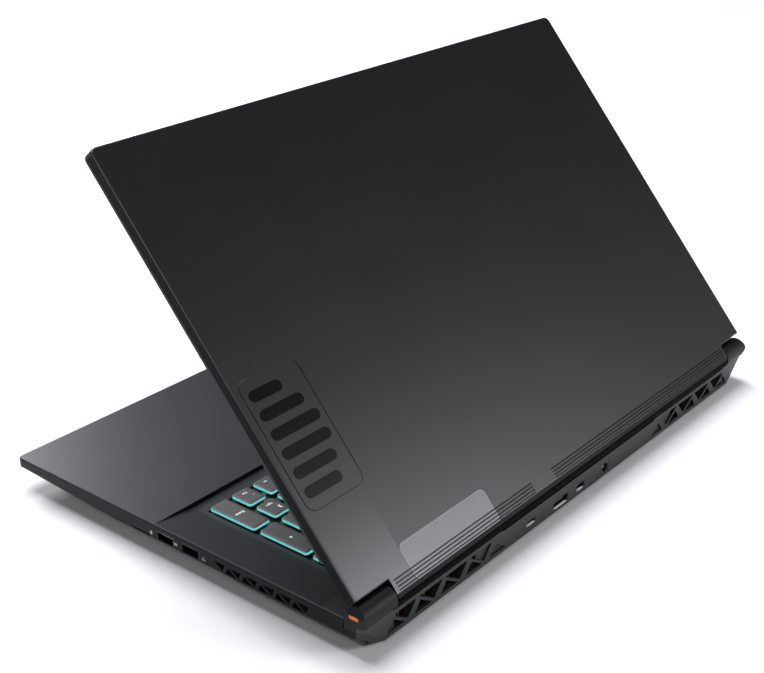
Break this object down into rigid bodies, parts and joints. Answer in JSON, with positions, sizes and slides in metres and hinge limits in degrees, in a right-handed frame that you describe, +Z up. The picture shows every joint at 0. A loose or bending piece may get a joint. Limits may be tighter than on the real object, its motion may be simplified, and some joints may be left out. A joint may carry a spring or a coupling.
{
  "type": "laptop computer",
  "caption": "Folding laptop computer with a wide screen lid on a rear barrel hinge, a full keyboard in a sunken well and truss-shaped rear and side air vents.",
  "frame": {"origin": "on the desk plane, under the middle of the base", "axes": "+X to the user's right, +Y to the rear hinge, +Z up"},
  "size_m": [0.396, 0.265, 0.2219],
  "materials": {
    "case_plastic": "satin, fine metallic",
    "cover_plastic": "matte",
    "lid_finish": "satin",
    "bezel_plastic": "matte",
    "screen": "anti-glare",
    "tray_metal": "plain",
    "hinge_steel": "brushed",
    "plate_metal": "black anodised",
    "light_sheet": "translucent",
    "key_plastic": "matte with lit edges",
    "touch_surface": "smooth matte",
    "board": "satin",
    "battery_wrap": "matte film over foil",
    "module": "satin",
    "copper": "bare copper",
    "fan_plastic": "matte",
    "socket_metal": "plain",
    "socket_plastic": "matte",
    "rubber_black": "matte"
  },
  "bodies": {
    "base": {"top_case": "case_plastic", "bottom_cover": "cover_plastic", "rear_vent_frame": "cover_plastic", "hinge_cap_right": "cover_plastic", "hinge_cap_left": "cover_plastic", "hinge_bracket_right": "hinge_steel", "hinge_bracket_left": "hinge_steel", "fan_housing_right": "fan_plastic", "fan_housing_left": "fan_plastic", "rear_fin_stack_right": "copper", "rear_fin_stack_left": "copper", "side_fin_stacks": "copper", "heat_pipes": "copper", "cooling_plates": "copper", "mainboard": "board", "battery_pack": "battery_wrap", "memory_modules": "module", "storage_module": "module", "wireless_card": "module", "speakers": "fan_plastic", "rubber_feet": "rubber_black", "serial_port_right": "socket_metal", "serial_port_left": "socket_metal", "network_socket": "socket_plastic", "card_slot": "socket_plastic", "audio_socket": "socket_plastic", "reversible_port": "socket_metal", "video_port": "socket_metal", "small_display_port": "socket_metal", "power_inlet": "socket_plastic", "keyboard_plate": "plate_metal", "keyboard_light_guide": "light_sheet"},
    "lid": {"lid_cover": "lid_finish", "lid_bezel": "bezel_plastic", "display_panel": "screen", "display_tray": "tray_metal", "camera_module": "module", "lid_bumpers": "rubber_black", "hinge_arm_right": "hinge_steel", "hinge_arm_left": "hinge_steel", "hinge_pins": "hinge_steel"},
    "fan_right": {"fan_rotor_right": "fan_plastic"},
    "fan_left": {"fan_rotor_left": "fan_plastic"},
    "touchpad_body": {"touchpad": "touch_surface"},
    "power_button_body": {"power_button": "key_plastic"},
    "function_row_keys_body": {"function_row_keys": "key_plastic"},
    "number_row_keys_body": {"number_row_keys": "key_plastic"},
    "upper_letter_keys_body": {"upper_letter_keys": "key_plastic"},
    "home_row_keys_body": {"home_row_keys": "key_plastic"},
    "main_enter_key_body": {"main_enter_key": "key_plastic"},
    "lower_letter_keys_body": {"lower_letter_keys": "key_plastic"},
    "bottom_row_keys_body": {"bottom_row_keys": "key_plastic"},
    "space_bar_body": {"space_bar": "key_plastic"},
    "arrow_keys_body": {"arrow_keys": "key_plastic"},
    "pad_zero_key_body": {"pad_zero_key": "key_plastic"},
    "pad_point_key_body": {"pad_point_key": "key_plastic"},
    "pad_plus_key_body": {"pad_plus_key": "key_plastic"},
    "pad_enter_key_body": {"pad_enter_key": "key_plastic"}
  },
  "joints": [
    {"name": "lid_hinge", "type": "hinge", "parent": "base", "child": "lid", "pos_m": [0, 0.1258, 0.022], "axis": [-1, 0, 0], "range_deg": [-49.4, 85.6]},
    {"name": "fan_spin_right", "type": "hinge", "parent": "base", "child": "fan_right", "pos_m": [0.1362, 0.0615, 0.008], "axis": [0, 0, 1], "continuous": true},
    {"name": "fan_spin_left", "type": "hinge", "parent": "base", "child": "fan_left", "pos_m": [-0.1362, 0.0615, 0.008], "axis": [0, 0, 1], "continuous": true},
    {"name": "touchpad_press", "type": "slide", "parent": "base", "child": "touchpad_body", "axis": [0, 0, -1], "range_m": [0, 0.0005], "stiffness_N_per_m": 3000, "springref_m": -0.0003},
    {"name": "power_button_press", "type": "slide", "parent": "base", "child": "power_button_body", "axis": [0, 0, -1], "range_m": [0, 0.0008], "stiffness_N_per_m": 900, "springref_m": -0.0005},
    {"name": "function_row_keys_press", "type": "slide", "parent": "base", "child": "function_row_keys_body", "axis": [0, 0, -1], "range_m": [0, 0.0015], "stiffness_N_per_m": 400, "springref_m": -0.0012},
    {"name": "number_row_keys_press", "type": "slide", "parent": "base", "child": "number_row_keys_body", "axis": [0, 0, -1], "range_m": [0, 0.0015], "stiffness_N_per_m": 400, "springref_m": -0.0012},
    {"name": "upper_letter_keys_press", "type": "slide", "parent": "base", "child": "upper_letter_keys_body", "axis": [0, 0, -1], "range_m": [0, 0.0015], "stiffness_N_per_m": 400, "springref_m": -0.0012},
    {"name": "home_row_keys_press", "type": "slide", "parent": "base", "child": "home_row_keys_body", "axis": [0, 0, -1], "range_m": [0, 0.0015], "stiffness_N_per_m": 400, "springref_m": -0.0012},
    {"name": "main_enter_key_press", "type": "slide", "parent": "base", "child": "main_enter_key_body", "axis": [0, 0, -1], "range_m": [0, 0.0015], "stiffness_N_per_m": 400, "springref_m": -0.0008},
    {"name": "lower_letter_keys_press", "type": "slide", "parent": "base", "child": "lower_letter_keys_body", "axis": [0, 0, -1], "range_m": [0, 0.0015], "stiffness_N_per_m": 400, "springref_m": -0.0012},
    {"name": "bottom_row_keys_press", "type": "slide", "parent": "base", "child": "bottom_row_keys_body", "axis": [0, 0, -1], "range_m": [0, 0.0015], "stiffness_N_per_m": 400, "springref_m": -0.0012},
    {"name": "space_bar_press", "type": "slide", "parent": "base", "child": "space_bar_body", "axis": [0, 0, -1], "range_m": [0, 0.0015], "stiffness_N_per_m": 400, "springref_m": -0.0008},
    {"name": "arrow_keys_press", "type": "slide", "parent": "base", "child": "arrow_keys_body", "axis": [0, 0, -1], "range_m": [0, 0.0015], "stiffness_N_per_m": 400, "springref_m": -0.0012},
    {"name": "pad_zero_key_press", "type": "slide", "parent": "base", "child": "pad_zero_key_body", "axis": [0, 0, -1], "range_m": [0, 0.0015], "stiffness_N_per_m": 400, "springref_m": -0.0008},
    {"name": "pad_point_key_press", "type": "slide", "parent": "base", "child": "pad_point_key_body", "axis": [0, 0, -1], "range_m": [0, 0.0015], "stiffness_N_per_m": 400, "springref_m": -0.0008},
    {"name": "pad_plus_key_press", "type": "slide", "parent": "base", "child": "pad_plus_key_body", "axis": [0, 0, -1], "range_m": [0, 0.0015], "stiffness_N_per_m": 400, "springref_m": -0.0008},
    {"name": "pad_enter_key_press", "type": "slide", "parent": "base", "child": "pad_enter_key_body", "axis": [0, 0, -1], "range_m": [0, 0.0015], "stiffness_N_per_m": 400, "springref_m": -0.0008}
  ]
}
